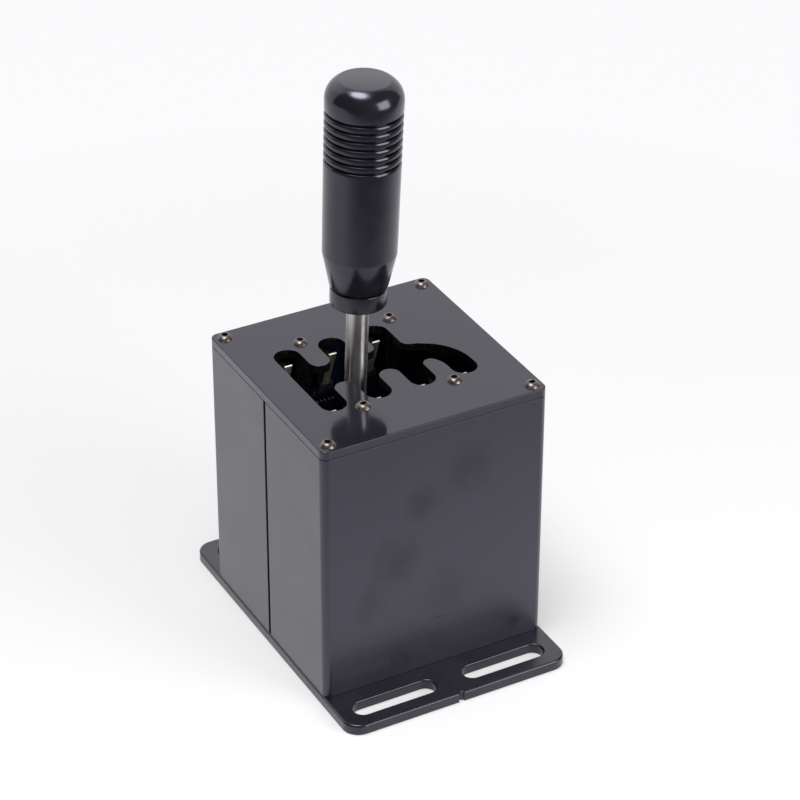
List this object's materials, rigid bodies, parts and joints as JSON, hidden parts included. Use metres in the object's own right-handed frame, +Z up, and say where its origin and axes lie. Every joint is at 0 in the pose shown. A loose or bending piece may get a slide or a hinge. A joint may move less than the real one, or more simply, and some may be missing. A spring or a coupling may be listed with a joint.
{
  "type": "sim racing gear shifter",
  "caption": "H-pattern gear shifter for sim racing: long grooved knob on a steel rod in a black sheet-metal box with a slotted gate plate and a slotted base plate.",
  "frame": {"origin": "centre of the base plate's underside", "axes": "+Z up, +Y forward, away from the driver, +X to the driver's right"},
  "size_m": [0.112, 0.16, 0.2747],
  "materials": {
    "base_black": "satin black paint",
    "cover_black": "satin black paint",
    "gate_black": "gloss black",
    "screw_nickel": "dark nickel plate",
    "screw_black": "black oxide",
    "bare_aluminium": "milled",
    "bronze": "sintered bronze",
    "ground_steel": "ground",
    "spring_steel": "drawn wire",
    "nylon": "natural nylon",
    "board_blue": "solder mask",
    "chip_black": "moulded",
    "pin_tin": "tinned",
    "socket_shell": "plated",
    "ribbon_grey": "ribbed",
    "switch_brown": "moulded",
    "leaf_steel": "sprung strip",
    "plunger_red": "moulded",
    "knob_black": "black anodised"
  },
  "bodies": {
    "housing": {"base_plate": "base_black", "front_cover": "cover_black", "rear_cover": "cover_black", "gate_plate": "gate_black", "corner_posts": "bare_aluminium", "gate_corner_screws": "screw_nickel", "gate_inner_screws": "screw_nickel", "base_screws": "screw_black", "board_blocks": "bare_aluminium", "board_screws": "screw_black", "front_switch_board": "board_blue", "rear_switch_board": "board_blue", "pin_header": "pin_tin", "controller_chip": "chip_black", "usb_socket": "socket_shell", "ribbon_plugs": "chip_black", "link_ribbon": "ribbon_grey", "bearing_block_front": "bare_aluminium", "bearing_block_rear": "bare_aluminium", "bearing_screws": "screw_black", "select_bushes": "bronze", "spring_seats": "bare_aluminium", "spring_seat_screws": "screw_black", "centring_spring_left": "spring_steel", "centring_spring_right": "spring_steel", "switch_body_1": "switch_brown", "switch_body_2": "switch_brown", "switch_body_3": "switch_brown", "switch_body_4": "switch_brown", "switch_body_5": "switch_brown", "switch_body_6": "switch_brown", "switch_body_reverse": "switch_brown"},
    "cradle": {"cradle": "bare_aluminium", "select_pins": "ground_steel", "shift_bushes": "bronze"},
    "lever": {"lever_hub": "bare_aluminium", "shift_pin": "ground_steel", "pin_rings": "screw_black", "friction_washers": "nylon", "hub_set_screw": "screw_black", "lever_rod": "ground_steel", "knob_collar": "knob_black", "knob_grip": "knob_black"},
    "leaf_1": {"switch_leaf_1": "leaf_steel"},
    "plunger_1": {"switch_plunger_1": "plunger_red"},
    "leaf_2": {"switch_leaf_2": "leaf_steel"},
    "plunger_2": {"switch_plunger_2": "plunger_red"},
    "leaf_3": {"switch_leaf_3": "leaf_steel"},
    "plunger_3": {"switch_plunger_3": "plunger_red"},
    "leaf_4": {"switch_leaf_4": "leaf_steel"},
    "plunger_4": {"switch_plunger_4": "plunger_red"},
    "leaf_5": {"switch_leaf_5": "leaf_steel"},
    "plunger_5": {"switch_plunger_5": "plunger_red"},
    "leaf_6": {"switch_leaf_6": "leaf_steel"},
    "plunger_6": {"switch_plunger_6": "plunger_red"},
    "leaf_reverse": {"switch_leaf_reverse": "leaf_steel"},
    "plunger_reverse": {"switch_plunger_reverse": "plunger_red"}
  },
  "joints": [
    {"name": "select", "type": "hinge", "parent": "housing", "child": "cradle", "pos_m": [-0.01389, 0, 0.035], "axis": [0, 1, 0], "range_deg": [-13.13, 12.15], "stiffness_Nm_per_rad": 4, "springref_deg": -0.21, "deforming": ["centring_spring_left", "centring_spring_right"]},
    {"name": "shift", "type": "hinge", "parent": "cradle", "child": "lever", "pos_m": [-0.01389, 0, 0.035], "axis": [0.9993, 0, -0.0366], "range_deg": [-12, 12]},
    {"name": "leaf_1_press", "type": "hinge", "parent": "housing", "child": "leaf_1", "pos_m": [-0.033, 0.0283, 0.1109], "axis": [-1, 0, 0], "range_deg": [0, 6.5], "stiffness_Nm_per_rad": 0.02, "springref_deg": -5.73},
    {"name": "plunger_1_press", "type": "slide", "parent": "housing", "child": "plunger_1", "axis": [0, 1, 0], "range_m": [0, 0.00116]},
    {"name": "leaf_2_press", "type": "hinge", "parent": "housing", "child": "leaf_2", "pos_m": [-0.033, -0.0283, 0.1109], "axis": [1, 0, 0], "range_deg": [0, 6.5], "stiffness_Nm_per_rad": 0.02, "springref_deg": -5.73},
    {"name": "plunger_2_press", "type": "slide", "parent": "housing", "child": "plunger_2", "axis": [0, -1, 0], "range_m": [0, 0.00116]},
    {"name": "leaf_3_press", "type": "hinge", "parent": "housing", "child": "leaf_3", "pos_m": [-0.011, 0.0283, 0.1109], "axis": [-1, 0, 0], "range_deg": [0, 6.5], "stiffness_Nm_per_rad": 0.02, "springref_deg": -5.73},
    {"name": "plunger_3_press", "type": "slide", "parent": "housing", "child": "plunger_3", "axis": [0, 1, 0], "range_m": [0, 0.00116]},
    {"name": "leaf_4_press", "type": "hinge", "parent": "housing", "child": "leaf_4", "pos_m": [-0.011, -0.0283, 0.1109], "axis": [1, 0, 0], "range_deg": [0, 6.5], "stiffness_Nm_per_rad": 0.02, "springref_deg": -5.73},
    {"name": "plunger_4_press", "type": "slide", "parent": "housing", "child": "plunger_4", "axis": [0, -1, 0], "range_m": [0, 0.00116]},
    {"name": "leaf_5_press", "type": "hinge", "parent": "housing", "child": "leaf_5", "pos_m": [0.011, 0.0283, 0.1109], "axis": [-1, 0, 0], "range_deg": [0, 6.5], "stiffness_Nm_per_rad": 0.02, "springref_deg": -5.73},
    {"name": "plunger_5_press", "type": "slide", "parent": "housing", "child": "plunger_5", "axis": [0, 1, 0], "range_m": [0, 0.00116]},
    {"name": "leaf_6_press", "type": "hinge", "parent": "housing", "child": "leaf_6", "pos_m": [0.011, -0.0283, 0.1109], "axis": [1, 0, 0], "range_deg": [0, 6.5], "stiffness_Nm_per_rad": 0.02, "springref_deg": -5.73},
    {"name": "plunger_6_press", "type": "slide", "parent": "housing", "child": "plunger_6", "axis": [0, -1, 0], "range_m": [0, 0.00116]},
    {"name": "leaf_reverse_press", "type": "hinge", "parent": "housing", "child": "leaf_reverse", "pos_m": [0.032, -0.0283, 0.1109], "axis": [1, 0, 0], "range_deg": [0, 6.5], "stiffness_Nm_per_rad": 0.02, "springref_deg": -5.73},
    {"name": "plunger_reverse_press", "type": "slide", "parent": "housing", "child": "plunger_reverse", "axis": [0, -1, 0], "range_m": [0, 0.00116]}
  ],
  "couplings": [
    {"joint": "plunger_1_press", "follows": "leaf_1_press", "m_per_rad": 0.01},
    {"joint": "plunger_2_press", "follows": "leaf_2_press", "m_per_rad": 0.01},
    {"joint": "plunger_3_press", "follows": "leaf_3_press", "m_per_rad": 0.01},
    {"joint": "plunger_4_press", "follows": "leaf_4_press", "m_per_rad": 0.01},
    {"joint": "plunger_5_press", "follows": "leaf_5_press", "m_per_rad": 0.01},
    {"joint": "plunger_6_press", "follows": "leaf_6_press", "m_per_rad": 0.01},
    {"joint": "plunger_reverse_press", "follows": "leaf_reverse_press", "m_per_rad": 0.01}
  ]
}
